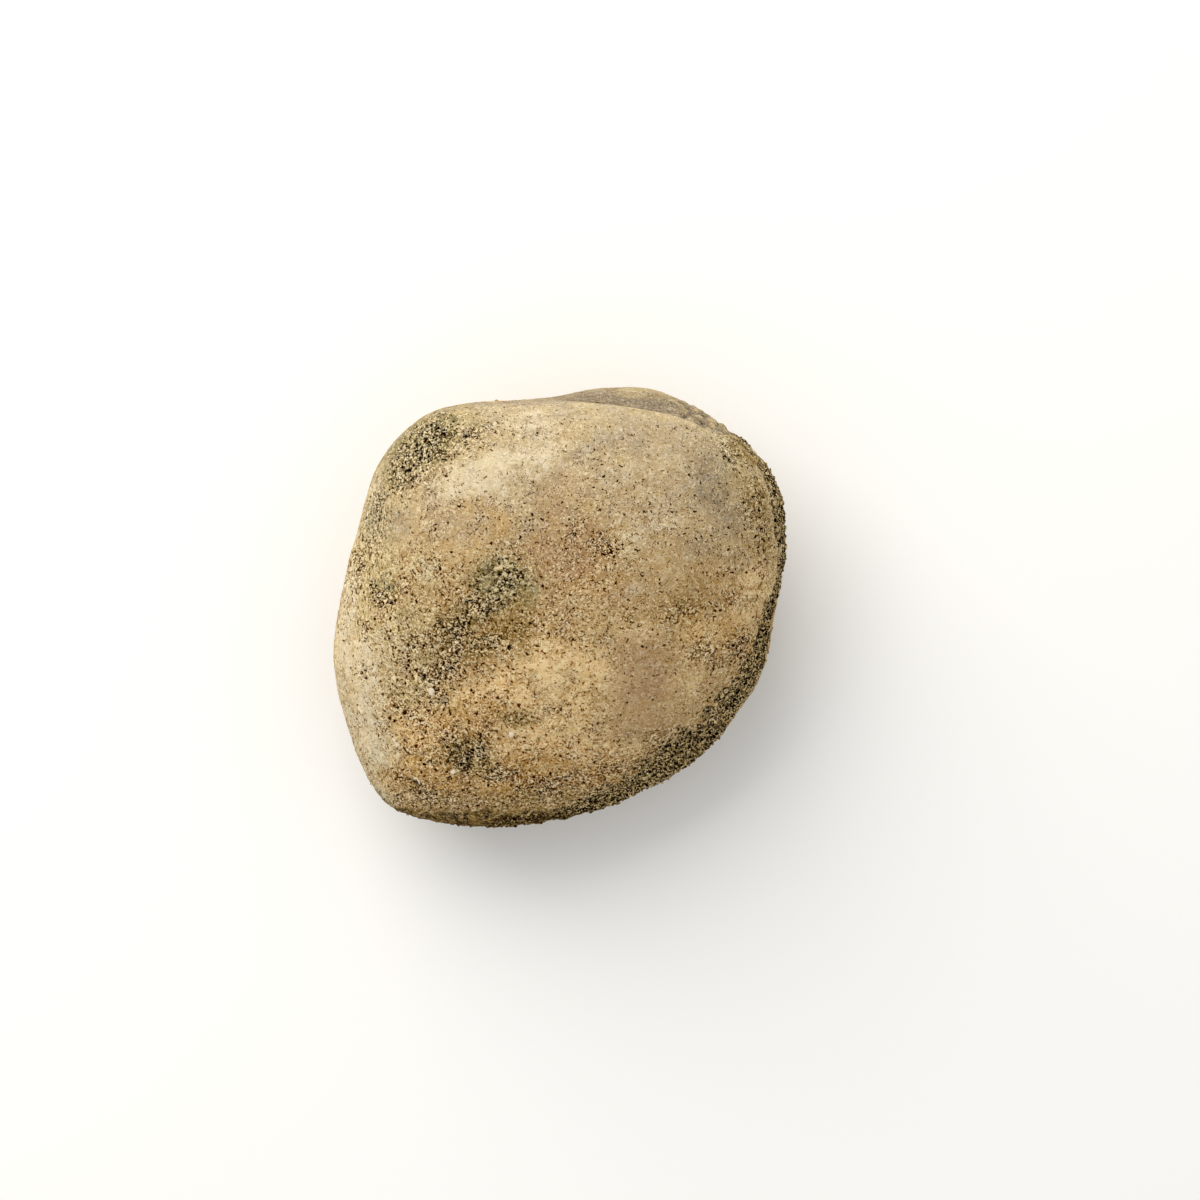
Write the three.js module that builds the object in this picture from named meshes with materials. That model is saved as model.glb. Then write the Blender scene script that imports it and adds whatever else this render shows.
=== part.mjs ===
// Fossil clam: the stone filling of a closed two-valved shell, one solid piece.
// Two domed valve faces meet a rough rim where the shell's edges once closed, and two beaks
// stand on either side of a shallow hinge groove.
//
// Millimetres, +Z up. The stone lies on its lower valve on a small worn flat at Z = 0, with the
// hinge side towards +Y, and the origin is at the middle of its footprint.
import * as THREE from "three";

// ---- driving dimensions -------------------------------------------------------------------
const UPPER_DOME = 27; // height of the upper valve's crown above the seam
const LOWER_DOME = 26; // depth of the lower valve's crown below the seam
const RIM_HALF = 8.5; // half the rim's thickness round the sides, seam to valve edge
const RIM_BULGE = 1.4; // how far the rim's middle stands proud of its chord
const HINGE_GROOVE = 3.4; // depth of the groove between the two beaks
const GROOVE_LINE = 0.36; // where the groove is deepest, as a share of the way down the rim
const MEAN_REACH = 42; // radius of the rounded rings near the crown
const DOME_POWER = 2.2; // how flat the crowns are: 2 is round, more is flatter
const CROWN = new THREE.Vector2(0, 8); // where both valves are fullest, nearer the hinge
const REST_PITCH = 11; // degrees that the hinge side is raised as the stone lies
const FLAT_DEPTH = 0.9; // depth of the worn flat, below

// Mesh density: divisions across each valve face, and across the rim. Rings of the grid draw
// together towards the rim, where the face curves most; a smaller RING_EASE spaces them evenly.
const FACE_STEPS = 36;
const RIM_STEPS = 8;
const RING_EASE = 1.3;

// The seam's outline in its own plane, anticlockwise from the right, as a smooth closed curve.
const SEAM_OUTLINE = [
  [44, 16.5], [40.1, 28], [30.1, 36.8], [15.8, 41.4], [-4, 41.9], [-24, 40],
  [-34.6, 31], [-40.3, 16], [-45, 1], [-46.8, -13.4], [-42.7, -31], [-34.8, -42.8],
  [-14, -46.5], [8.3, -44.5], [28.9, -34.6], [40.5, -17.7], [43.1, -0.8],
];

// ---- small helpers ------------------------------------------------------------------------
const radians = THREE.MathUtils.degToRad;

// 1 at an angle, falling smoothly to 0 at the given spread on either side. Degrees.
function near(angle, centre, spread) {
  const away = Math.abs(((angle - centre + 540) % 360) - 180);
  return away < spread ? 0.5 + 0.5 * Math.cos((Math.PI * away) / spread) : 0;
}

// A smooth round swelling or hollow in the seam's plane.
function mound(x, y, [centreX, centreY, radius, height]) {
  const share = ((x - centreX) ** 2 + (y - centreY) ** 2) / radius ** 2;
  return height * Math.exp(-1.5 * share);
}

// ---- outline ------------------------------------------------------------------------------
const seamCurve = new THREE.CatmullRomCurve3(
  SEAM_OUTLINE.map(([x, y]) => new THREE.Vector3(x, y, 0)),
  true,
  "catmullrom",
  0.5,
);
const seamRays = seamCurve
  .getPoints(720)
  .map((point) => {
    const ray = new THREE.Vector2(point.x, point.y).sub(CROWN);
    return [THREE.MathUtils.radToDeg(ray.angle()), ray.length()];
  })
  .sort((a, b) => a[0] - b[0]);

// Distance from the crown to the seam along a direction in degrees.
function seamReach(direction) {
  const angle = ((direction % 360) + 360) % 360;
  const next = seamRays.findIndex(([rayAngle]) => rayAngle >= angle);
  const after = next < 0 ? [seamRays[0][0] + 360, seamRays[0][1]] : seamRays[next];
  const last = seamRays[seamRays.length - 1];
  const before = next > 0 ? seamRays[next - 1] : [last[0] - (next < 0 ? 0 : 360), last[1]];
  const share = (angle - before[0]) / Math.max(after[0] - before[0], 1e-6);
  return THREE.MathUtils.lerp(before[1], after[1], share);
}

// ---- rim ----------------------------------------------------------------------------------
// How far each valve's edge stands in from the seam, by direction in degrees from the crown.
function upperInset(angle) {
  return 1 + 10 * near(angle, 305, 62) + 3.6 * near(angle, 200, 70) + 0.9 * near(angle, 50, 38);
}
function lowerInset(angle) {
  return 2.2 + 1.8 * near(angle, 270, 110) + 3.5 * near(angle, 120, 45) - 2.8 * near(angle, 64, 46);
}

// Half the rim's thickness, which is greatest at the hinge and at the broken front corner.
function rimHalf(angle) {
  return RIM_HALF + 2.5 * near(angle, 90, 70) + 3 * near(angle, 305, 62);
}

// How far the rim's middle stands proud: least at the rounded hinge corner.
function rimBulge(angle) {
  return RIM_BULGE * (1 - near(angle, 95, 65));
}

// The hinge groove, beside the upper valve's edge. Beyond it the lower valve's beak stands out.
// across runs from the upper valve's edge to the lower one's.
function hingeGroove(angle, across) {
  const upperSide = Math.sin(0.5 * Math.PI * (across / GROOVE_LINE) ** 1.5);
  const up = (1 - across) / (1 - GROOVE_LINE);
  const lowerSide = 0.5 - 0.5 * Math.cos(Math.PI * up ** 1.4);
  return HINGE_GROOVE * near(angle, 58, 44) * (across < GROOVE_LINE ? upperSide : lowerSide);
}

// ---- valve faces --------------------------------------------------------------------------
// Edge fullness: low values roll over steeply, high values slope like a lens.
function upperFullness(angle) {
  return 0.68 + 0.13 * Math.cos(radians(angle - 315));
}
function lowerFullness(angle) {
  return 0.7 + 0.1 * Math.cos(radians(angle - 270));
}

// Swellings and hollows of the upper face: x, y, radius, height.
const UPPER_RELIEF = [
  [-16, 26, 20, 1.0], // swelling under the hinge shoulder
  [-13, 0, 12, -1.1], // hollow in the middle
  [-25, -13, 11, -1.0], // and its run towards the lower left
  [2, -16, 18, 0.9], // low bulge below the hollow
  [26, 4, 16, -0.7], // flattened right side
];
const LOWER_RELIEF = [
  [14, -20, 16, -0.8],
  [-20, 10, 18, 0.8],
];

// ---- surface ------------------------------------------------------------------------------
// A square grid eased onto the unit disc, so that its rows follow the rim.
function squareToDisc(a, b) {
  return new THREE.Vector2(
    a * Math.sqrt(1 - (b * b) / 2),
    b * Math.sqrt(1 - (a * a) / 2),
  );
}

// A point on a valve face. side is +1 for the upper valve and -1 for the lower one.
function valvePoint(disc, side) {
  const share = Math.min(disc.length(), 1);
  const angle = THREE.MathUtils.radToDeg(disc.angle());
  const upper = side > 0;
  const edge = seamReach(angle) - (upper ? upperInset(angle) : lowerInset(angle));
  const reach = Math.sin(share * RING_EASE) / Math.sin(RING_EASE);
  const ring = reach * THREE.MathUtils.lerp(MEAN_REACH, edge, reach ** 2);
  const x = CROWN.x + ring * Math.cos(radians(angle));
  const y = CROWN.y + ring * Math.sin(radians(angle));
  const fullness = upper ? upperFullness(angle) : lowerFullness(angle);
  const dome = Math.max(1 - reach ** DOME_POWER, 0) ** fullness;
  const rise = (upper ? UPPER_DOME : LOWER_DOME) - rimHalf(angle);
  const relief = (upper ? UPPER_RELIEF : LOWER_RELIEF)
    .map((entry) => mound(x, y, entry))
    .reduce((sum, height) => sum + height, 0);
  const height = rimHalf(angle) + rise * dome + relief * Math.min(1, 3 * dome);
  return new THREE.Vector3(x, y, side * height);
}

// A point on the rim. across runs from 0 at the upper valve's edge to 1 at the lower one's.
function rimPoint(disc, across) {
  const angle = THREE.MathUtils.radToDeg(disc.angle());
  const top = valvePoint(disc, 1);
  const bottom = valvePoint(disc, -1);
  const point = top.clone().lerp(bottom, across);
  const straightInset = THREE.MathUtils.lerp(upperInset(angle), lowerInset(angle), across);
  const arch = Math.sin(Math.PI * across);
  const outwards = arch * (0.5 * straightInset + rimBulge(angle)) - hingeGroove(angle, across);
  point.x += outwards * Math.cos(radians(angle));
  point.y += outwards * Math.sin(radians(angle));
  return point;
}

// Shapes a box's grid into the stone: its top and bottom are the valves, its sides the rim.
function stoneGeometry() {
  const geometry = new THREE.BoxGeometry(2, 2, 2, FACE_STEPS, FACE_STEPS, RIM_STEPS);
  geometry.deleteAttribute("normal");
  geometry.deleteAttribute("uv");
  const position = geometry.getAttribute("position");
  const corner = new THREE.Vector3();
  for (let i = 0; i < position.count; i += 1) {
    corner.fromBufferAttribute(position, i);
    const disc = squareToDisc(corner.x, corner.y);
    const onFace = Math.abs(corner.z) > 1 - 1e-6;
    const point = onFace ? valvePoint(disc, Math.sign(corner.z)) : rimPoint(disc, (1 - corner.z) / 2);
    position.setXYZ(i, point.x, point.y, point.z);
  }
  return geometry;
}

// Turns the stone to how it lies, wears its lowest part to a flat at Z = 0, and centres it.
function layDown(geometry) {
  geometry.rotateX(radians(REST_PITCH));
  geometry.computeBoundingBox();
  const { min, max } = geometry.boundingBox;
  geometry.translate(-(min.x + max.x) / 2, -(min.y + max.y) / 2, -min.z - FLAT_DEPTH);
  const position = geometry.getAttribute("position");
  for (let i = 0; i < position.count; i += 1) {
    position.setZ(i, Math.max(position.getZ(i), 0));
  }
  geometry.computeVertexNormals();
  return geometry;
}

// ---- the part -----------------------------------------------------------------------------
const limestone = new THREE.MeshStandardMaterial({
  name: "limestone",
  color: 0xb09a74,
  roughness: 0.9,
  metalness: 0,
});
const stone = new THREE.Mesh(layDown(stoneGeometry()), limestone);
stone.name = "fossil_clam_stone";

const fossilClam = new THREE.Group();
fossilClam.name = "fossil_clam";
fossilClam.add(stone);

export default fossilClam;
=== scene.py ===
"""Looks of the fossil clam: a limestone filling of a closed shell, lying on its lower valve.

The stone's mesh is a remeshed copy of its solid. Layers of displacement, each held to its own
area, give it the swellings, fine ridges, rim crust and pits of the real surface, and sand grains
stand on its roughest parts. Its colours follow areas kept in the mesh, broken up by patterns
whose sizes come from the real grains and pits.
"""
import functools
import math

import bpy
import numpy as np
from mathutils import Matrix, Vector, noise


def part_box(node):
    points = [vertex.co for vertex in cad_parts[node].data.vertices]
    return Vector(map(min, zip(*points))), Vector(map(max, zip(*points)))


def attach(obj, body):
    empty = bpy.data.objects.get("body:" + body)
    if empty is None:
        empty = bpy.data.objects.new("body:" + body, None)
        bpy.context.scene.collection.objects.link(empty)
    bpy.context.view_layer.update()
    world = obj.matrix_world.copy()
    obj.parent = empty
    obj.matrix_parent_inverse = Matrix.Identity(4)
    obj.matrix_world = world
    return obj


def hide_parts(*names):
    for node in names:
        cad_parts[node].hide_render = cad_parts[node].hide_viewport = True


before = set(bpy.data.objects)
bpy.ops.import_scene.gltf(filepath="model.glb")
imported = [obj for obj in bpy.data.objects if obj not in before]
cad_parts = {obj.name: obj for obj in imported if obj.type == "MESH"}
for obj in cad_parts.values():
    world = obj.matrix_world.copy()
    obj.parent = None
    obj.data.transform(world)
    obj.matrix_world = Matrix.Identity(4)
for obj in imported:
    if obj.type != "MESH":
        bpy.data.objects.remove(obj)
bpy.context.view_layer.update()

low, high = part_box("fossil_clam_stone")
middle = (low + high) / 2

# ---- sizes: millimetres, unless a name says otherwise ----------------------------------------
MM = 0.001
VOXEL = 0.32  # spacing of the stone's mesh while it is shaped
MOST_TRIANGLES = 190000  # of the finished stone
SEAM_TILT = math.radians(11)  # the plane between the valves is raised at the hinge by this
SEAM_SHARE = 0.4477  # how far up the stone that plane's middle lies
SEAM_MIDDLE = (0.86, 1.14)  # and where it lies across the footprint
CROWN = (0, 8)  # fullest place of both valves, in the seam's plane
RIM_HALF = 8.5  # half the rim's thickness
HINGE_EXTRA = 2.5  # how much more that is at the hinge
CORNER_EXTRA = 3  # and at the broken front corner
GRIT_PER_SQUARE_MM = 0.7  # grains on the roughest parts
GRIT_RADIUS = (0.16, 0.42)  # smallest and largest grain

# Lumps of the patterns that push the surface in and out.
BROAD = 15
LUMPS = 4.5
KNOBS = 2.4
NODULES = 2.2
LARGE_PITS = 1.6
SMALL_PITS = 0.9
GRIT = 0.9
# Lumps of the patterns in the colours: clouding of the stone, and crumbling borders.
MOTTLE = 4.5
FINE = 1.6
# Its pits and sand grains are 0.4 to 0.8 mm across. Its finest slivers are too thin to show, so
# they are drawn as wide as they need to be, in curly strokes a millimetre or two long.
SPECKS = 0.54
CURLS = 0.78
GRAIN_SPECKLE = 0.4  # uneven tone within the grains that stand on the crust

# No pale bloom lies in front of a line across the footprint: its slope, and its Y where X is 0.
CHALK_LINE = (0.619, -19.86)

# The camera looks straight down, with the hinge at the top of the picture.
CAMERA_DISTANCE = 461
CAMERA_LENS = 69.15
CAMERA_OFFSET = (8.39, 1.38)
SENSOR_WIDTH = 36
# The key light is a square soft box at the upper left of the picture.
KEY_PLACE = (-430, 670, 640)
KEY_SIZE = 1000
KEY_WATTS = 9.6
SURROUND_STRENGTH = 0.68
FLOOR_SIZE = 6000
FLOOR_GAP = 0.05  # the floor lies this far below the stone

# Stretches of the rim, as directions from the crown: degrees, anticlockwise from the right.
HINGE_LOBE = (44, 90)
SHOULDER = (56, 66)
ROUGH_CORNER = (24, 50)
RIGHT_STRIP = (-18, 24)
RIGHT_CREVICE = (-16, 20)
CRUSTED_FRONT = (262, 345)
RUBBED_LIP = (320, 348)
THIN_BOTTOM = (234, 262)
SHADED_BOTTOM = (243, 267)
LEFT_RIM = (185, 236)
WORN_LEFT = (100, 215)
WORN_RIGHT = (262, 392)
# Places where the crust climbs further up the face: middle and spread.
LOWER_LEFT_CLIMB = (254, 30)
RIGHT_CLIMB = (12, 18)


# ---- small helpers ---------------------------------------------------------------------------
def ease(value, start, end):
    """0 before start and 1 past end, with a smooth step between them."""
    share = np.clip((value - start) / (end - start), 0, 1)
    return share * share * (3 - 2 * share)


def near(turn, centre, spread):
    """1 at an angle, falling smoothly to 0 at the spread on either side. Degrees."""
    away = np.abs((turn - centre + 540) % 360 - 180)
    return np.where(away < spread, 0.5 + 0.5 * np.cos(np.pi * away / spread), 0)


def sector(turn, start, end, soft):
    """1 between two angles, falling smoothly to 0 past each of them. Degrees."""
    away = np.abs((turn - (start + end) / 2 + 540) % 360 - 180)
    return 1 - ease(away, (end - start) / 2, (end - start) / 2 + soft)


def linear(code):
    """A colour written as an sRGB hex code, as the linear colour that nodes take."""
    channels = [int(code[i : i + 2], 16) / 255 for i in (1, 3, 5)]
    return [c / 12.92 if c <= 0.04045 else ((c + 0.055) / 1.055) ** 2.4 for c in channels] + [1]


def choose(piece):
    """Leaves one object selected and active."""
    bpy.ops.object.select_all(action="DESELECT")
    piece.select_set(True)
    bpy.context.view_layer.objects.active = piece


def copy_of(piece, name):
    """A copy of an object, with a mesh of its own, selected and active."""
    choose(piece)
    bpy.ops.object.duplicate()
    copy = bpy.context.object
    copy.name = name
    return copy


def apply_modifier(piece, kind, **settings):
    """Adds a modifier to a piece and applies it."""
    choose(piece)
    modifier = piece.modifiers.new(kind.lower(), kind)
    for key, value in settings.items():
        setattr(modifier, key, value)
    bpy.ops.object.modifier_apply(modifier=modifier.name)


def add(tree, kind, inputs=None, output=0, **settings):
    """Adds a node with its settings, sets or links its inputs, and gives one of its outputs."""
    node = tree.nodes.new(kind)
    for key, value in settings.items():
        setattr(node, key, value)
    for key, value in (inputs or {}).items():
        if isinstance(value, bpy.types.NodeSocket):
            tree.links.new(value, node.inputs[key])
        else:
            node.inputs[key].default_value = value
    return node.outputs[output]


# ---- places on the stone ---------------------------------------------------------------------
class Places:
    """Where each point of a mesh lies on the stone. Millimetres, from the footprint's middle.

    lift is the height over the seam between the valves, turn the direction from the crown in
    degrees, and band how far inside the rim's two edges a point lies, below 0 on the faces.
    """

    def __init__(self, mesh):
        points = np.empty(len(mesh.vertices) * 3)
        mesh.vertices.foreach_get("co", points)
        self.points = points.reshape(-1, 3) / MM
        self.x, self.y, self.z = self.points.T
        up = self.z - (low.z + SEAM_SHARE * (high.z - low.z)) / MM
        back = self.y - SEAM_MIDDLE[1]
        along = back * math.cos(SEAM_TILT) + up * math.sin(SEAM_TILT)
        self.lift = up * math.cos(SEAM_TILT) - back * math.sin(SEAM_TILT)
        self.turn = np.degrees(np.arctan2(along - CROWN[1], self.x - SEAM_MIDDLE[0] - CROWN[0]))
        half = RIM_HALF + HINGE_EXTRA * near(self.turn, 90, 70)
        half = half + CORNER_EXTRA * near(self.turn, 305, 62)
        self.band = half - np.abs(self.lift)
        self.upper_side = ease(self.lift, -1, 2)

    @functools.cache
    def noise(self, size, seed):
        """A smooth random field from about -1 to 1, with lumps of a size."""
        shift = Vector((17.3, 5.1, 9.7)) * seed
        return np.array([noise.fractal(Vector(p) / size + shift, 0.8, 2, 3) for p in self.points])

    def patch(self, x, y, length, width, lean=0):
        """A soft oval on the upper face, 1 in the middle. lean turns its length, in degrees."""
        cosine, sine = math.cos(math.radians(lean)), math.sin(math.radians(lean))
        along = ((self.x - x) * cosine + (self.y - y) * sine) / length
        across = ((self.y - y) * cosine - (self.x - x) * sine) / width
        return np.exp(-0.9 * (along**2 + across**2)) * self.upper_side

    def stroke(self, line, width):
        """A drawn line on the upper face, 1 along it and 0 past its width, with pointed ends."""
        best = np.zeros(len(self.x))
        length = sum(math.dist(a, b) for a, b in zip(line, line[1:]))
        before = 0
        for (ax, ay), (bx, by) in zip(line, line[1:]):
            run = math.dist((ax, ay), (bx, by))
            share = ((self.x - ax) * (bx - ax) + (self.y - ay) * (by - ay)) / run**2
            share = np.clip(share, 0, 1)
            away = np.hypot(self.x - ax - share * (bx - ax), self.y - ay - share * (by - ay))
            taper = np.maximum(np.sin(np.pi * (before + share * run) / length), 0) ** 0.5
            best = np.maximum(best, taper * (1 - ease(away, 0, width)))
            before += run
        return best * self.upper_side


# Areas of the upper face, as soft ovals: x, y, length, width, lean in degrees, strength.
# Dense pits and sand. Elsewhere the face keeps a medium grain, apart from its smooth parts.
GRANULAR_PATCHES = [
    (-25, 31, 9, 6.5, 40, 1.0),
    (-16, 32.5, 6, 3.2, 20, 0.7),
    (-30, 25.5, 5, 5, 0, 0.85),
    (-35.5, 18.5, 8, 4, 75, 0.75),
    (-39, 9, 10, 4, 80, 0.8),
    (-38, -4, 8, 4, 90, 0.5),
    (-38, -13, 3, 4, 0, 0.6),
    (-34, 3, 6, 5, 0, 0.75),
    (-37, 12, 5, 5, 0, 0.8),
    (9, 11.5, 5, 3.2, -25, 0.65),
    (3.8, 14.3, 3.5, 2.5, 0, 0.5),
    (-10.5, 5.5, 6.5, 5.5, 0, 0.85),
    (-14, 0.5, 7, 5, 20, 0.85),
    (-19, -4, 8, 5, 30, 0.85),
    (-14, -7, 7, 3.5, 20, 0.7),
    (-27, -7, 6, 5, 0, 0.65),
    (-25.5, -13.5, 5, 6, 0, 0.75),
    (-21.5, -18.5, 5, 3.5, 0, 0.7),
    (-20.5, -10.5, 6, 5, 45, 0.85),
    (-33, -24, 4, 5, 0, 0.55),
    (-17.5, -29, 5.5, 4.5, 0, 1.1),
    (-11, -33, 6, 3.2, 10, 0.85),
    (-8.5, -22, 5, 3, 0, 0.65),
    (9, -33, 9, 4.5, 12, 0.85),
    (-3, -35.5, 9, 3.5, 5, 0.85),
    (20, -27.5, 7, 4, 35, 0.8),
    (-27.5, -36, 8, 4.5, -35, 0.8),
    (29.5, -9.5, 6, 4.5, -30, 0.7),
    (24, -1, 5, 4, 0, 0.65),
    (36, -8, 4, 6, 0, 0.85),
    (34, 1, 4, 4, 0, 0.6),
    (40, 12, 3, 12, 0, 0.55),
    (38.5, 21, 3.5, 6, 0, 0.65),
    (34, 29.5, 6, 3, -50, 0.6),
    (5.7, -6.2, 2.5, 2, 0, 0.6),
    (-3, -3, 9, 6, 0, 0.5),
    (12, -1.5, 10, 5, 0, 0.4),
]
SMOOTH_PATCHES = [
    (8, 36.5, 22, 4, -4, 0.9),
    (18, 29, 18, 9, -15, 0.85),
    (29.5, 20, 8, 9, 0, 0.55),
    (22, 8, 9, 5, 0, 0.6),
    (-30, 17, 6, 6, 0, 1.0),
    (-18.5, 14.5, 6, 5, 0, 0.7),
    (-13, 25.5, 10, 4.5, 25, 1.0),
    (17, -17, 9, 10, 0, 0.9),
    (-1, -14, 6, 3.5, 0, 0.6),
    (-40, -15, 4, 9, 0, 0.7),
    (-1, 24, 9, 8, 0, 0.6),
    (-34, -32, 4, 4, 0, 0.6),
    (-37, -25, 4, 6, 0, 0.75),
    (-1, 26, 7, 4, 0, 0.8),
]
# Pale bloom: the swelling under the shoulder, the top, the left strip, and faint clouds between.
CHALK_PATCHES = [
    (-35.5, 20, 3.5, 8, 0, 0.75),
    (-14, 25, 10, 3.8, 25, 1.0),
    (-5, 27.5, 8, 4.5, 20, 0.65),
    (-4.5, 35, 7, 4, 0, 0.5),
    (-39.5, -12, 4.5, 9, 0, 0.9),
    (-36, -8, 4, 6, 0, 0.5),
    (-10, 22, 5, 3, 20, 0.5),
    (20, 17, 6, 5, 0, 0.5),
    (15, 3, 5, 3, 0, 0.35),
    (-38.5, -7, 3, 4, 0, 0.5),
    (-31, -11, 3, 3, 0, 0.5),
    (-25, 7, 4, 3, 0, 0.5),
    (-37.5, -21, 4.5, 9, 10, 0.85),
    (-37, -27, 3.4, 6, 20, 1.0),
    (-30, -6, 3, 5, 0, 0.4),
    (-25.2, -13, 3, 3, 0, 0.4),
    (12, 26, 14, 8, -10, 0.35),
    (15, 13, 8, 8, 30, 0.4),
]
# Bright tan, over the lower half and out to the right edge.
OCHRE_PATCHES = [
    (-8, -13.5, 8, 4.5, 20, 0.7),
    (-4, -9.5, 7, 4, 25, 0.75),
    (5, -12, 8, 6, 0, 0.75),
    (4, -20, 9, 8, 0, 0.55),
    (-5, -16, 8, 5, 0, 0.7),
    (-15, -19, 6, 4, 0, 0.7),
    (7, -29, 10, 4, 0, 0.8),
    (26, -15, 5, 4, 0, 0.5),
    (29, -6, 5.5, 4, 0, 0.75),
    (36, -2, 4, 6, 0, 0.6),
    (39, 4, 4, 6, 0, 0.8),
    (15, -4, 7, 4, 0, 0.4),
    (-1, -13, 6, 4, 0, 0.8),
    (-8, -28, 9, 4, 0, 0.7),
    (-5, -22, 9, 5, 0, 0.7),
    (2, -28, 10, 4, 0, 0.8),
    (5, -33, 14, 5, 5, 0.6),
    (-27, -24, 7, 6, 0, 0.65),
    (-26, -33, 7, 5, 0, 0.65),
    (-17, -22, 5, 3, 0, 0.5),
    (-21, -23, 5, 3, 0, 0.8),
    (-3, -35, 10, 4, 0, 0.65),
]
# Iron stain, browner.
RUST_PATCHES = [
    (-17, 19.3, 5, 2.5, 0, 0.45),
    (-9.5, 14.5, 5, 3, 20, 0.35),
    (-13.3, -20, 6, 3, 0, 0.6),
    (-28, -21.6, 7, 5, 0, 0.45),
    (-25, -33, 8, 5, 0, 0.8),
    (-19, -24, 9, 7, 0, 0.6),
    (-6, -33, 13, 5, 5, 1.0),
    (10, -33, 12, 4, 10, 0.75),
    (33, -6, 6, 8, 0, 0.5),
    (24, -1, 6, 5, 0, 0.5),
    (36, 13, 5, 12, 0, 0.3),
    (28, -7, 5, 4, 0, 0.5),
    (37, -9, 4, 5, 0, 0.6),
]
# Cool olive-grey film over the dense pits.
GREY_PATCHES = [
    (-25, 32.5, 10, 6, 30, 1.0),
    (-16.5, 34, 6, 3.5, 10, 0.5),
    (-31, 26, 6, 5, 60, 0.6),
    (-35, 19, 7, 4, 75, 0.5),
    (-9.8, 4.3, 6.5, 5.5, -10, 1.0),
    (-15, 0, 6, 5, 30, 0.5),
    (-34, 3.5, 5, 5, 90, 0.5),
]
# Khaki, down the left and round the upper right edge.
KHAKI_PATCHES = [
    (-37, 8, 8, 16, 0, 0.9),
    (-25, 7, 5, 5, 0, 0.7),
    (-33, 24, 7, 9, 0, 0.7),
    (-29, -6, 9, 9, 0, 0.8),
    (-28, -17, 8, 9, 0, 0.7),
    (35, 29, 9, 4, -50, 0.7),
    (7, 19, 6, 4, 0, 0.3),
    (-34, -26, 4, 7, 0, 0.7),
]
# Dull grey: the right, and a spot at the upper left.
DULL_PATCHES = [
    (30, 24, 7, 9, 0, 0.6),
    (34, 17, 6, 6, 0, 0.5),
    (28, 12, 7, 4, 0, 0.4),
    (27, 29, 6, 5, 0, 0.4),
    (-31, 16, 5, 4, 0, 0.6),
]
# Pinkish brown: the middle, and the lower right.
PINK_PATCHES = [
    (0, 19.3, 6, 4, 0, 0.6),
    (2, 10.7, 8, 6, 0, 0.9),
    (-3, 5, 5, 5, 0, 0.5),
    (10, 2, 8, 4, 0, 0.5),
    (2, 1, 6, 4, 0, 0.6),
    (16, -13, 7, 9, 0, 0.8),
    (17, -22, 9, 6, 0, 0.5),
    (-22, 17.4, 6, 3, 0, 0.5),
]
# Dark olive-brown: run-off below the blotch, the low spots, and the edges.
BROWN_PATCHES = [
    (-9, -4.5, 6, 4, 20, 0.9),
    (-14, -7, 8, 3.5, 25, 0.8),
    (-20, -5, 8, 5, 35, 0.75),
    (-23, -12, 7, 5, 50, 0.4),
    (-8, 0, 5, 4, 0, 0.6),
    (-17.5, -29, 5, 4, -20, 1.1),
    (-7, -21.5, 6, 2.5, 0, 0.6),
    (23, 0, 7, 4.5, 10, 0.45),
    (-28, -2, 5, 3, 0, 0.4),
    (27, 9, 6, 3, 0, 0.3),
    (3, -1, 5, 4, 0, 0.3),
    (27, 2, 4, 4, 0, 0.5),
    (40, 20, 5, 12, 0, 0.65),
    (38, 31, 4, 6, 40, 0.8),
    (35, 25, 4, 8, 0, 0.4),
    (-6, -8, 5, 3, 30, 0.5),
    (-3, -38, 16, 3, 4, 0.6),
    (-25.6, -37.5, 9, 3.5, -25, 0.45),
]
# Single pits and pale grains that stand apart from the crowds: x, y, radius.
LONE_PITS = [
    (16.6, -7.6, 0.42), (-3.3, 32.9, 0.3), (-3.9, 33.6, 0.26), (16, 35.9, 0.22),
    (26.7, 32.1, 0.22), (32.4, 28.9, 0.36), (33.2, 28.5, 0.26), (1.2, 28.1, 0.28),
    (20.5, 23.8, 0.24), (32.9, 23.5, 0.26), (25.3, 11.6, 0.28), (31.6, 13.1, 0.24),
    (-4.7, 25.5, 0.22), (-1.2, 24.8, 0.18), (12.8, 1.9, 0.26),
]
LONE_GRAINS = [
    (-24.4, -16.4, 0.7), (-26.9, -8.8, 0.35), (-20.5, -32.4, 0.5), (-8.8, -24.7, 0.55),
]
# Fine raised lines of the left strip, and the pale swelling above them.
LEFT_RIDGES = [
    [(-34.3, -22.9), (-33, -24.7), (-31.8, -26.6), (-31.2, -29.1), (-31.8, -32)],
    [(-29.7, -32.4), (-27.7, -34.1), (-26.4, -36.2)],
    [(-35.5, -20.2), (-34.1, -22.3), (-34.5, -24.5)],
    [(-39.9, -18.9), (-38.8, -20.5), (-37.9, -22.1)],
    [(-38.2, -25.9), (-37, -29.3), (-36.2, -31.5)],
]
LEFT_SWELLING = [(-33.6, -2.5), (-32, -4.5), (-30.4, -7.1), (-30.6, -10.9)]


def area(places, patches):
    """Patches joined into one area."""
    total = np.zeros(len(places.x))
    for x, y, length, width, lean, strength in patches:
        total = np.maximum(total, strength * places.patch(x, y, length, width, lean))
    return total


def lone_marks(places, marks):
    """Single marks: 1 at the middle of each, and less by half for each radius away from it."""
    cones = [1 - np.hypot(places.x - x, places.y - y) / (2 * radius) for x, y, radius in marks]
    return np.max(cones, axis=0)


def left_ridges(places, width):
    """The fine raised lines of the left strip, drawn at a width."""
    return np.max([places.stroke(line, width) for line in LEFT_RIDGES], axis=0)


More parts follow.
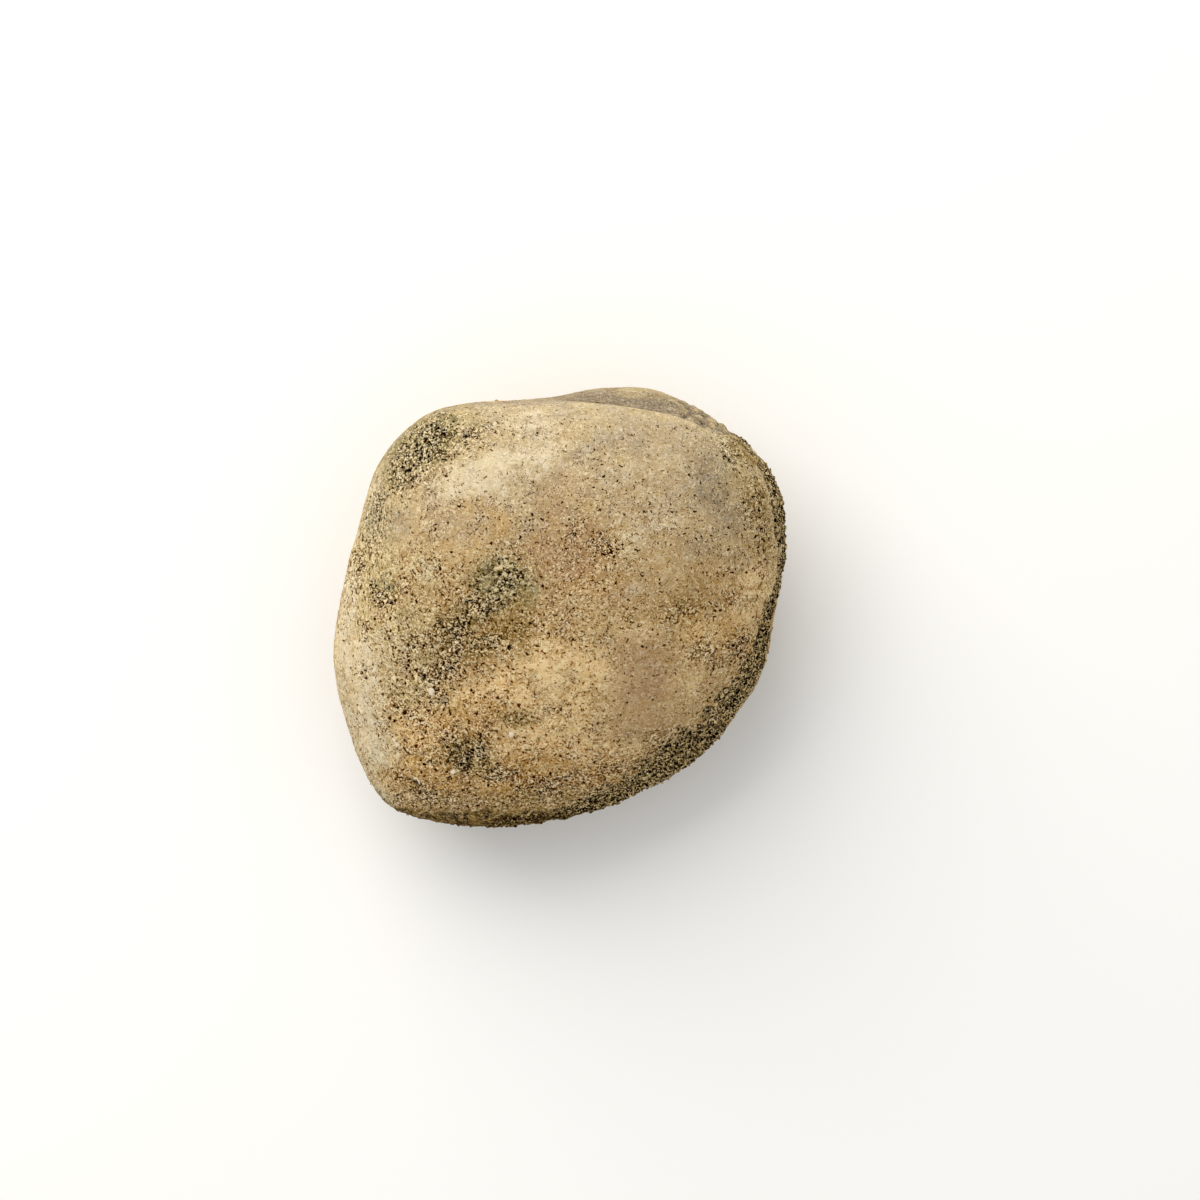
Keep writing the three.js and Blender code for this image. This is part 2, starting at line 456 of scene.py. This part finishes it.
def rim_crust(places):
    """Where the rim keeps its rough, pitted crust: 1 on it, 0 on the valve faces."""
    right_climb = near(places.turn, *RIGHT_CLIMB)
    climb = 2.8 * near(places.turn, *LOWER_LEFT_CLIMB) + 0.3 * right_climb
    ragged = places.band + climb + 2.8 * places.noise(5, 1) + 1.7 * places.noise(1.6, 2)
    crust = ease(ragged, -1.6, 2.0)
    # Above the seam it is whole at the front right and a strip at the right. Along the bottom it
    # thins out, and the rest of the rim has weathered smooth.
    whole = sector(places.turn, *CRUSTED_FRONT, 20)
    strip = 0.9 * sector(places.turn, *RIGHT_STRIP, 7)
    strip = strip * ease(places.band + 2.2 * right_climb, 0.8, 2.2)
    bottom = 0.5 * sector(places.turn, *THIN_BOTTOM, 10)
    upper = np.max([whole, strip, bottom], axis=0) * (1 - rubbed_lip(places))
    # Below the seam it is worn away by chance.
    lower = 0.45 + 0.55 * ease(places.noise(8, 13), -0.45, 0.2)
    above = ease(places.lift + 3 * places.noise(6, 8), -6, 0)
    return crust * (above * upper + (1 - above) * lower) * (1 - hinge_lobe(places))


def rubbed_lip(places):
    """The outermost edge of the rim at the lower right, rubbed free of the crust."""
    ragged = places.noise(3, 11)
    lip = sector(places.turn + 5 * ragged, *RUBBED_LIP, 12)
    return lip * (1 - ease(places.lift + ragged, 2.6, 3.6)) * ease(places.lift, -2, 1)


def granular(places):
    """Where pits and sand crowd: the patches above, and chance ones on the hidden sides."""
    smooth_lobe = 1 - hinge_lobe(places)
    chance = ease(places.noise(11, 3), 0.1, 0.45) * (1 - ease(places.lift, 0, 6)) * 0.8
    medium = 0.4 + 0.12 * ease(-places.x, 5, 25) + 0.12 * ease(-places.y, 5, 20)
    medium = medium * (1 - area(places, SMOOTH_PATCHES))
    crowded = 1.1 * area(places, GRANULAR_PATCHES)
    return np.max([crowded, chance * smooth_lobe, medium * smooth_lobe], axis=0)


def hinge_lobe(places):
    """The lower valve's beak, where it shows past the groove beside the hinge."""
    ragged = places.noise(7, 14)
    lift = places.lift + 3 * ragged
    lobe = sector(places.turn + 7 * ragged, *HINGE_LOBE, 14)
    return lobe * ease(lift, -19, -12) * (1 - ease(lift, 2, 9))


def shoulder(places, band, width):
    """A line along the shoulder beside the hinge, at a distance below the valve's edge."""
    line = 1 - ease(np.abs(places.band - band), 0.2, width)
    return sector(places.turn, *SHOULDER, 24) * line * ease(places.lift, 0, 2)


def bottom_shadow(places):
    """Painted shadow: the underside of the bottom edge is darkened."""
    ragged = places.noise(3, 12)
    below = ease(1.5 * ragged - places.y, 39.9, 41.7) * ease(places.lift + 2 * ragged, -1, 5)
    return sector(places.turn + 5 * ragged, *SHADED_BOTTOM, 20) * below


# ---- the stone's shape -----------------------------------------------------------------------
def weigh(stone, name, weights):
    """Makes a vertex group from a weight for every point, in steps of a hundredth."""
    group = stone.vertex_groups.new(name=name)
    steps = np.round(np.clip(weights, 0, 1) * 100).astype(int)
    for step in np.unique(steps[steps > 0]):
        group.add(np.flatnonzero(steps == step).tolist(), step / 100, "REPLACE")


def texture(name, kind, size, **settings):
    """A pattern for the layers of displacement, with lumps of a size."""
    made = bpy.data.textures.new(name, kind)
    made.noise_scale = size * MM
    for key, value in settings.items():
        setattr(made, key, value)
    return made


def pit_texture(name, size):
    """Ragged holes: white where a random field is lowest, and black over most of the surface."""
    holes = texture(name, "CLOUDS", size, noise_depth=1)
    holes.use_color_ramp = True
    deep, rim = holes.color_ramp.elements
    deep.position = 0.225
    deep.color = (1, 1, 1, 1)
    rim.position = 0.45
    rim.color = (0, 0, 0, 1)
    holes.color_ramp.interpolation = "EASE"
    return holes


def push(stone, group, height, pattern=None, level=0.5):
    """Moves the surface out by a height where a group is full, following a pattern.

    The pattern's tone at the level leaves the surface where it is.
    """
    apply_modifier(
        stone,
        "DISPLACE",
        strength=height * MM,
        mid_level=level if pattern else 0,
        texture=pattern,
        texture_coords="LOCAL",
        vertex_group=group,
    )


def shape_areas(places):
    """The areas that the layers of displacement are held to."""
    free = ease(places.z, 0.2, 2.5)  # the worn flat underneath stays flat
    crust = rim_crust(places)
    # A crevice runs between the face's edge and the crust, at the right.
    edge = places.band + 0.6 * places.noise(2.5, 4) + 2.2 * near(places.turn, *RIGHT_CLIMB)
    crevice = sector(places.turn, *RIGHT_CREVICE, 7) * (1 - ease(np.abs(edge - 1.2), 0.2, 0.9))
    # The valves' edges are worn round, but for those beside the hinge and along the bottom.
    worn_right = sector(places.turn, *WORN_RIGHT, 28)
    worn = np.maximum(sector(places.turn, *WORN_LEFT, 16), worn_right)
    return {
        "free": free,
        "face": free * (1 - crust),
        "crust": free * crust,
        "pits": free * np.maximum(ease(granular(places), 0.4, 0.9), crust),
        "worn": worn * ease(places.band, -7, -3),
        "crevice": free * crevice * ease(places.lift, 0, 2),
        "hinge_line": shoulder(places, 1.5, 1.6),
        "rough_corner": sector(places.turn, *ROUGH_CORNER, 8) * ease(places.band, -1, 2),
        "left_swelling": places.stroke(LEFT_SWELLING, 2.6),
        "left_ridges": left_ridges(places, 0.6),
        "lone_grains": np.max([places.patch(x, y, r, r) for x, y, r in LONE_GRAINS], axis=0),
    }


def make_stone():
    """The stone: its solid remeshed, then shaped in layers from broad to fine."""
    stone = copy_of(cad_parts["fossil_clam_stone"], "stone")
    stone.parent = None
    bpy.ops.object.mode_set(mode="EDIT")
    bpy.ops.mesh.select_all(action="SELECT")
    bpy.ops.mesh.remove_doubles(threshold=1e-6)
    bpy.ops.mesh.tris_convert_to_quads()
    bpy.ops.object.mode_set(mode="OBJECT")
    apply_modifier(stone, "SUBSURF", levels=2, render_levels=2)
    apply_modifier(stone, "REMESH", mode="VOXEL", voxel_size=VOXEL * MM)
    apply_modifier(stone, "SMOOTH", factor=0.5, iterations=6)
    for name, weights in shape_areas(Places(stone.data)).items():
        weigh(stone, name, weights)
    apply_modifier(stone, "SMOOTH", factor=0.5, iterations=90, vertex_group="worn")

    lumps = texture("lumps", "CLOUDS", LUMPS, noise_depth=2)
    grit = texture("grit", "CLOUDS", GRIT, noise_depth=2)
    push(stone, "free", 1.0, texture("broad", "CLOUDS", BROAD, noise_depth=1))
    push(stone, "face", 0.3, lumps)
    push(stone, "crust", 0.9, lumps)
    push(stone, "crust", -0.8, texture("knobs", "VORONOI", KNOBS), level=0.4)
    push(stone, "crevice", -1.1)
    push(stone, "hinge_line", -0.6)
    push(stone, "rough_corner", 1.6, texture("nodules", "CLOUDS", NODULES, noise_depth=1))
    push(stone, "left_swelling", 0.55)
    push(stone, "left_ridges", 0.5)
    push(stone, "pits", -0.6, pit_texture("large_pits", LARGE_PITS), level=0)
    push(stone, "pits", -0.4, pit_texture("small_pits", SMALL_PITS), level=0)
    push(stone, "lone_grains", 0.35)
    push(stone, "free", 0.09, grit)
    push(stone, "crust", 0.35, grit)

    triangles = len(stone.data.polygons) * 2  # the remeshed faces have four sides
    apply_modifier(stone, "DECIMATE", ratio=MOST_TRIANGLES / triangles)
    stone.vertex_groups.clear()
    # No point may dip under the surface that the stone lies on.
    for vertex in stone.data.vertices:
        vertex.co.z = max(vertex.co.z, 0)
    bpy.ops.object.shade_smooth()
    return stone


# ---- areas kept in the mesh, which the material reads ----------------------------------------
def hollows(mesh, places, rounds=24):
    """How far each point lies below the surface around it, in millimetres: pits are above 0."""
    edges = np.empty(len(mesh.edges) * 2, int)
    mesh.edges.foreach_get("vertices", edges)
    ends = edges.reshape(-1, 2)
    from_end = np.concatenate([ends[:, 0], ends[:, 1]])
    to_end = np.concatenate([ends[:, 1], ends[:, 0]])
    count = np.bincount(to_end, minlength=len(mesh.vertices))
    smooth = places.points.copy()
    for _ in range(rounds):
        around = [np.bincount(to_end, column[from_end], len(count)) for column in smooth.T]
        smooth = 0.5 * smooth + 0.5 * np.stack(around, 1) / count[:, None]
    normals = np.empty(len(mesh.vertices) * 3)
    mesh.vertices.foreach_get("normal", normals)
    return ((smooth - places.points) * normals.reshape(-1, 3)).sum(1)


def keep_areas(stone):
    """Writes each area as an attribute of the stone's points."""
    places = Places(stone.data)
    crust = rim_crust(places)
    lobe = hinge_lobe(places)
    shadow = bottom_shadow(places)
    ridges = left_ridges(places, 0.65)
    hidden = 1 - ease(places.lift, 0, 5)
    chance = hidden * (1 - lobe)
    open_rim = ease(places.lift, -6, -1)  # pits and dirt are densest where weather reaches the rim
    left_rim = sector(places.turn, *LEFT_RIM, 12) * ease(places.band, -3, 0)
    left_rim = left_rim * ease(places.lift, -8, -2)

    def by_chance(size, seed, start):
        """Stains of the hidden sides, where a random field is past a start."""
        return 0.8 * chance * ease(places.noise(size, seed), start, 0.4)

    chalk = [
        area(places, CHALK_PATCHES),
        ridges,
        0.9 * places.stroke(LEFT_SWELLING, 2.2),
        # A painted highlight along the lit lip of the shoulder.
        0.5 * shoulder(places, -0.4, 1.0),
        0.7 * left_rim,
        by_chance(12, 7, 0.1),
    ]
    slope, middle_y = CHALK_LINE
    behind_line = places.y > slope * places.x + middle_y
    # The brown area also holds the painted shadow under the bottom edge and painted shade in the groove
    # beside the hinge.
    brown = [area(places, BROWN_PATCHES), shadow, 0.4 * shoulder(places, 1.6, 1.6)]
    dense = np.maximum(granular(places), (0.6 + 0.8 * open_rim) * crust)
    warm = np.clip(1 - (places.y - 6) / 32 + 0.2 * places.noise(18, 9), 0, 1)
    lone_grains = np.maximum(lone_marks(places, LONE_GRAINS), 0.6 * ridges)
    sandy = 0.35 + 0.65 * ease(places.noise(3, 10), -0.2, 0.4)
    kept = {
        "warm": warm * (1 - 0.4 * hidden) + 0.3 * hidden,
        "khaki": area(places, KHAKI_PATCHES),
        "pink": area(places, PINK_PATCHES),
        "ochre": area(places, OCHRE_PATCHES),
        "chalk": np.max(chalk, axis=0) * behind_line,
        "rust": np.maximum(area(places, RUST_PATCHES), by_chance(16, 5, 0.05)),
        "dull": np.maximum(area(places, DULL_PATCHES), 0.75 * lobe),
        "grey": np.maximum(area(places, GREY_PATCHES), by_chance(14, 6, 0.05)),
        "brown": np.max(brown, axis=0),
        "crust": crust * (0.65 + 0.35 * open_rim),
        "granular": dense * (1 - 0.75 * shadow),
        "lone_pit": lone_marks(places, LONE_PITS) * places.upper_side,
        "lone_grain": lone_grains * places.upper_side,
        # The bottom edge's painted shadow is added to the hollows, which the material darkens as
        # painted shade.
        "hollow": hollows(stone.data, places) + 0.33 * shadow,
        "grit": np.clip(1.2 * crust - 0.2, 0, 1) * sandy,
    }
    for name, values in kept.items():
        attribute = stone.data.attributes.new(name, "FLOAT", "POINT")
        attribute.data.foreach_set("value", values.astype(np.float32))


# ---- grit on the rough parts -----------------------------------------------------------------
def grit_nodes():
    """Scatters small angular stones over a surface, denser where its grit area is fuller."""
    tree = bpy.data.node_groups.new("scatter_grit", "GeometryNodeTree")
    tree.interface.new_socket("Geometry", in_out="INPUT", socket_type="NodeSocketGeometry")
    tree.interface.new_socket("Geometry", in_out="OUTPUT", socket_type="NodeSocketGeometry")
    surface = add(tree, "NodeGroupInput")
    rough = add(tree, "GeometryNodeInputNamedAttribute", {"Name": "grit"}, data_type="FLOAT")
    density = add(
        tree,
        "ShaderNodeMath",
        {0: rough, 1: GRIT_PER_SQUARE_MM / MM**2},
        operation="MULTIPLY",
    )
    points = add(
        tree,
        "GeometryNodeDistributePointsOnFaces",
        {"Mesh": surface, "Density": density, "Seed": 4},
    )
    ball = add(tree, "GeometryNodeMeshIcoSphere", {"Radius": 1.0, "Subdivisions": 1})
    ball = add(tree, "GeometryNodeSetMaterial", {"Geometry": ball, "Material": sand_grains()})
    turned = add(
        tree,
        "FunctionNodeRandomValue",
        {0: (0, 0, 0), 1: (6.28, 6.28, 6.28), "Seed": 1},
        data_type="FLOAT_VECTOR",
    )
    smallest, largest = (size * MM for size in GRIT_RADIUS)
    sized = add(
        tree,
        "FunctionNodeRandomValue",
        {0: (smallest,) * 3, 1: (largest,) * 3, "Seed": 2},
        data_type="FLOAT_VECTOR",
    )
    placed = add(
        tree,
        "GeometryNodeInstanceOnPoints",
        {"Points": points, "Instance": ball, "Rotation": turned, "Scale": sized},
    )
    tone = add(
        tree,
        "FunctionNodeRandomValue",
        {2: 0.0, 3: 1.0, "Seed": 3},
        output=1,
        data_type="FLOAT",
    )
    toned = add(
        tree,
        "GeometryNodeStoreNamedAttribute",
        {"Geometry": placed, "Name": "tone", "Value": tone},
        data_type="FLOAT",
        domain="INSTANCE",
    )
    whole = add(tree, "GeometryNodeRealizeInstances", {"Geometry": toned})
    result = tree.nodes.new("NodeGroupOutput")
    tree.links.new(whole, result.inputs[0])
    return tree


def make_grit(stone):
    """Sand grains standing on the crust, half sunk, joined in one mesh."""
    grit = copy_of(stone, "grit")
    apply_modifier(grit, "NODES", node_group=grit_nodes())
    return grit


# ---- the limestone ---------------------------------------------------------------------------
def stone_patterns(tree):
    """Random fields on the stone. Where curls passes a level, it draws thin curly strokes."""
    place = add(tree, "ShaderNodeTexCoord", output="Object")
    patterns = {}
    for name, size, detail, roughness, distortion in (
        ("mottle", MOTTLE, 4, 0.6, 0),
        ("fine", FINE, 3, 0.6, 1.0),
        ("curls", CURLS, 1.5, 0.55, 2.0),
        ("specks", SPECKS, 0, 0.5, 1.0),
    ):
        inputs = {"Vector": place, "Scale": 1 / (size * MM), "Detail": detail}
        inputs.update({"Roughness": roughness, "Distortion": distortion})
        patterns[name] = add(tree, "ShaderNodeTexNoise", inputs)
    return patterns


def stained_ground(tree, kept, patterns):
    """The ground colour, greyer towards the hinge and warmer towards the front, and its stains."""
    mottle = patterns["mottle"]
    uneven = add(tree, "ShaderNodeMath", {0: mottle, 1: 1.7, 2: -0.85}, operation="MULTIPLY_ADD")
    warm = add(
        tree,
        "ShaderNodeMath",
        {0: kept["warm"], 1: uneven},
        operation="ADD",
        use_clamp=True,
    )
    colour = add(
        tree,
        "ShaderNodeMix",
        {0: warm, 6: linear("#aa9b83"), 7: linear("#ba9b6b")},
        output=2,
        data_type="RGBA",
    )
    # The patterns break up each stain's border.
    ragged = add(tree, "ShaderNodeMath", {0: mottle, 1: 2.6, 2: -1.2}, operation="MULTIPLY_ADD")
    ragged = add(
        tree,
        "ShaderNodeMath",
        {0: patterns["fine"], 1: 1.8, 2: ragged},
        operation="MULTIPLY_ADD",
    )
    for name, tone, strength in (
        ("khaki", "#c4b286", 0.8),
        ("pink", "#ab8a66", 0.8),
        ("ochre", "#e6c893", 0.9),
        # The pale bloom also holds the painted highlight on the shoulder's lip.
        ("chalk", "#d4c6a8", 0.9),
        ("rust", "#b58c4b", 0.8),
        ("dull", "#7d705e", 0.85),
        ("grey", "#968a61", 0.85),
        # The brown stains also hold the painted shadow under the bottom edge and painted shade in the
        # hinge groove.
        ("brown", "#866931", 0.85),
        ("crust", "#3d2a0d", 0.92),
    ):
        stain = add(tree, "ShaderNodeMath", {0: kept[name], 1: ragged}, operation="MULTIPLY")
        share = add(
            tree,
            "ShaderNodeMapRange",
            {0: stain, 1: 0.15, 2: 0.8, 4: strength},
            interpolation_type="SMOOTHSTEP",
        )
        colour = add(
            tree,
            "ShaderNodeMix",
            {0: share, 6: colour, 7: linear(tone)},
            output=2,
            data_type="RGBA",
        )
    return colour


def hollow_shade_and_rubbing(tree, kept, patterns, colour):
    """Painted shade darkens the hollows of the mesh, and what stands proud is rubbed paler."""
    shade_depth = add(
        tree,
        "ShaderNodeMath",
        {0: patterns["fine"], 1: -0.25, 2: kept["hollow"]},
        operation="MULTIPLY_ADD",
    )
    # Painted shade: deeper hollows, and the bottom edge's painted shadow, go dark brown; proud points
    # go paler.
    for value, start, end, strength, tone in (
        (shade_depth, 0.0, 0.25, 0.9, "#2e1d08"),
        (kept["hollow"], -0.04, -0.25, 0.45, "#dcc694"),
    ):
        share = add(tree, "ShaderNodeMapRange", {0: value, 1: start, 2: end, 4: strength})
        colour = add(
            tree,
            "ShaderNodeMix",
            {0: share, 6: colour, 7: linear(tone)},
            output=2,
            data_type="RGBA",
        )
    return colour


def crowding(tree, kept, patterns):
    """How crowded the marks are: few on the smooth parts, dense on the granular ones."""
    uneven = add(
        tree,
        "ShaderNodeMath",
        {0: patterns["mottle"], 1: -2.0, 2: 2.0},
        operation="MULTIPLY_ADD",
    )
    return add(
        tree,
        "ShaderNodeMath",
        {0: kept["granular"], 1: uneven},
        operation="MULTIPLY",
        use_clamp=True,
    )


def sand_shade(tree, crowd, patterns):
    """Sand, as a power of the ground colour: above 1 darker and richer, below 1 paler."""
    darkest = add(tree, "ShaderNodeMapRange", {0: crowd, 1: 0.25, 3: 1.12, 4: 1.8})
    lightest = add(tree, "ShaderNodeMapRange", {0: crowd, 1: 0.25, 3: 0.84, 4: 0.46})
    power = add(
        tree,
        "ShaderNodeMapRange",
        {0: patterns["specks"], 1: 0.32, 2: 0.68, 3: darkest, 4: lightest},
    )
    power = add(
        tree,
        "ShaderNodeMath",
        {0: patterns["fine"], 1: -0.9, 2: power},
        operation="MULTIPLY_ADD",
    )
    return add(tree, "ShaderNodeMath", {0: power, 1: 0.45}, operation="ADD")


def strokes(tree, crowd, patterns, level, widest, faint, full):
    """Thin strokes where the curls pass a level, faint on smooth parts and full on dense ones."""
    # They break where the specks are low, and join up where marks crowd.
    gap = add(tree, "ShaderNodeMapRange", {0: crowd, 3: 0.57, 4: 0.43})
    unbroken = add(tree, "ShaderNodeMath", {0: patterns["specks"], 1: gap}, operation="SUBTRACT")
    unbroken = add(tree, "ShaderNodeMapRange", {0: unbroken, 1: 0.0, 2: 0.05})
    width = add(tree, "ShaderNodeMapRange", {0: crowd, 3: 0.03, 4: widest})
    drawn = add(
        tree,
        "ShaderNodeMath",
        {0: patterns["curls"], 1: level, 2: width},
        operation="COMPARE",
    )
    strength = add(tree, "ShaderNodeMapRange", {0: crowd, 3: faint, 4: full})
    drawn = add(tree, "ShaderNodeMath", {0: drawn, 1: unbroken}, operation="MULTIPLY")
    return add(tree, "ShaderNodeMath", {0: drawn, 1: strength}, operation="MULTIPLY")


def lone_mark(tree, kept, patterns, name):
    """Single pits or grains, with ragged borders."""
    mark = add(
        tree,
        "ShaderNodeMath",
        {0: patterns["fine"], 1: 0.8, 2: kept[name]},
        operation="MULTIPLY_ADD",
    )
    return add(tree, "ShaderNodeMapRange", {0: mark, 1: 0.85, 2: 0.97})


def black_pits(tree, kept, crowd, patterns):
    """Black pits, rare on the smooth parts, and the single ones."""
    least = add(tree, "ShaderNodeMapRange", {0: crowd, 3: 0.22, 4: 0.43})
    pits = add(tree, "ShaderNodeMath", {0: least, 1: patterns["specks"]}, operation="SUBTRACT")
    deep = add(tree, "ShaderNodeMapRange", {0: crowd, 2: 0.6, 3: 0.7, 4: 1.0})
    pits = add(tree, "ShaderNodeMapRange", {0: pits, 1: 0.0, 2: 0.04, 4: deep})
    lone_pits = lone_mark(tree, kept, patterns, "lone_pit")
    return add(tree, "ShaderNodeMath", {0: pits, 1: lone_pits}, operation="MAXIMUM")


def limestone():
    """Weathered sandy limestone: chalky and matte, so no gloss anywhere, with pale shell grains,
    dark pits where grains fell out, iron stain, and a cool film where dirt settled."""
    material = bpy.data.materials.new("weathered_limestone")
    material.use_nodes = True
    tree = material.node_tree
    shader = tree.nodes["Principled BSDF"]
    names = "warm khaki pink ochre chalk rust dull grey brown crust granular lone_pit lone_grain hollow"
    kept = {
        name: add(tree, "ShaderNodeAttribute", output="Fac", attribute_name=name)
        for name in names.split()
    }
    patterns = stone_patterns(tree)
    colour = stained_ground(tree, kept, patterns)
    colour = hollow_shade_and_rubbing(tree, kept, patterns, colour)

    crowd = crowding(tree, kept, patterns)
    power = sand_shade(tree, crowd, patterns)
    dark_strokes = strokes(tree, crowd, patterns, level=0.39, widest=0.085, faint=0.8, full=1.0)
    pits = black_pits(tree, kept, crowd, patterns)
    for mark, target in ((dark_strokes, 3.4), (pits, 6.0)):
        power = add(tree, "ShaderNodeMix", {0: mark, 2: power, 3: target}, data_type="FLOAT")
    colour = add(tree, "ShaderNodeGamma", {"Color": colour, "Gamma": power})

    # Grains are cream on the faces and browner in the crust. The cool film covers some of them.
    grain = add(
        tree,
        "ShaderNodeMix",
        {0: kept["crust"], 6: linear("#f0dcb0"), 7: linear("#efd092")},
        output=2,
        data_type="RGBA",
    )
    bare = add(
        tree,
        "ShaderNodeMath",
        {0: kept["grey"], 1: -0.4, 2: 1.0},
        operation="MULTIPLY_ADD",
    )
    grains = strokes(tree, crowd, patterns, level=0.56, widest=0.055, faint=0.55, full=0.95)
    grains = add(tree, "ShaderNodeMath", {0: grains, 1: bare}, operation="MULTIPLY")
    lone_grains = lone_mark(tree, kept, patterns, "lone_grain")
    for mark, tone in ((grains, grain), (lone_grains, linear("#ecdcc0"))):
        colour = add(
            tree,
            "ShaderNodeMix",
            {0: mark, 6: colour, 7: tone},
            output=2,
            data_type="RGBA",
        )
    tree.links.new(colour, shader.inputs["Base Color"])

    # Relief finer than the mesh, as a height in millimetres.
    height = add(tree, "ShaderNodeMath", {0: patterns["fine"], 1: 0.3}, operation="MULTIPLY")
    height = add(
        tree,
        "ShaderNodeMath",
        {0: pits, 1: -0.15, 2: height},
        operation="MULTIPLY_ADD",
    )
    bump = add(tree, "ShaderNodeBump", {"Height": height, "Distance": MM, "Strength": 1.0})
    tree.links.new(bump, shader.inputs["Normal"])
    shader.inputs["Roughness"].default_value = 0.92
    shader.inputs["Specular IOR Level"].default_value = 0.0
    return material


# ---- the other materials ---------------------------------------------------------------------
def sand_grains():
    """Quartz and shell sand, dull from weathering: some grains brown, some pale, none shiny."""
    material = bpy.data.materials.new("weathered_sand_grains")
    material.use_nodes = True
    tree = material.node_tree
    shader = tree.nodes["Principled BSDF"]
    tone = add(tree, "ShaderNodeAttribute", output="Fac", attribute_name="tone")
    place = add(tree, "ShaderNodeTexCoord", output="Object")
    speckle = add(
        tree,
        "ShaderNodeTexNoise",
        {"Vector": place, "Scale": 1 / (GRAIN_SPECKLE * MM), "Detail": 2},
    )
    tone = add(tree, "ShaderNodeMath", {0: speckle, 1: 0.5, 2: tone}, operation="MULTIPLY_ADD")
    tone = add(tree, "ShaderNodeMath", {0: tone, 1: 0.25}, operation="SUBTRACT", use_clamp=True)
    ramp = tree.nodes.new("ShaderNodeValToRGB")
    tree.links.new(tone, ramp.inputs[0])
    darkest, palest = ramp.color_ramp.elements
    darkest.color = linear("#241806")
    palest.color = linear("#c9ae76")
    brown = ramp.color_ramp.elements.new(0.55)
    brown.color = linear("#6f5831")
    tree.links.new(ramp.outputs[0], shader.inputs["Base Color"])
    shader.inputs["Roughness"].default_value = 0.85
    shader.inputs["Specular IOR Level"].default_value = 0.05
    return material


def white_board():
    """Matte painted board, for the floor."""
    material = bpy.data.materials.new("matte_white_board")
    material.use_nodes = True
    shader = material.node_tree.nodes["Principled BSDF"]
    shader.inputs["Base Color"].default_value = linear("#fbfbfa")
    shader.inputs["Roughness"].default_value = 0.9
    return material


# ---- camera, light and floor -----------------------------------------------------------------
def place_camera():
    """Straight above the stone, with the hinge side at the top of the picture."""
    spot = middle + Vector((*CAMERA_OFFSET, CAMERA_DISTANCE)) * MM
    bpy.ops.object.camera_add(location=spot, rotation=(0, 0, 0))
    camera = bpy.context.object
    camera.data.lens = CAMERA_LENS
    camera.data.sensor_width = SENSOR_WIDTH
    camera.data.clip_start = 10 * MM
    bpy.context.scene.camera = camera


def light_studio():
    """A soft key light, turned to the stone, over an even white surround."""
    spot = Vector(KEY_PLACE) * MM
    bpy.ops.object.light_add(type="AREA", location=spot)
    key = bpy.context.object
    key.name = "key"
    key.rotation_euler = (middle - spot).to_track_quat("-Z", "Y").to_euler()
    key.data.size = KEY_SIZE * MM
    key.data.energy = KEY_WATTS
    key.data.color = linear("#fffaf2")[:3]

    world = bpy.data.worlds.new("white_surround")
    world.use_nodes = True
    background = world.node_tree.nodes["Background"]
    background.inputs["Color"].default_value = linear("#fbfbfa")
    background.inputs["Strength"].default_value = SURROUND_STRENGTH
    bpy.context.scene.world = world
    bpy.context.scene.view_settings.view_transform = "Standard"


def lay_floor():
    """A plain floor, which the stone lies on."""
    bpy.ops.mesh.primitive_plane_add(size=FLOOR_SIZE * MM, location=(0, 0, -FLOOR_GAP * MM))
    floor = bpy.context.object
    floor.name = "floor"
    floor.data.materials.append(white_board())


# ---- the scene -------------------------------------------------------------------------------
place_camera()
light_studio()
lay_floor()

stone = make_stone()
keep_areas(stone)
stone.data.materials.clear()
grit = make_grit(stone)
stone.data.materials.append(limestone())
for piece in (stone, grit):
    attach(piece, "root")
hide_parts("fossil_clam_stone")
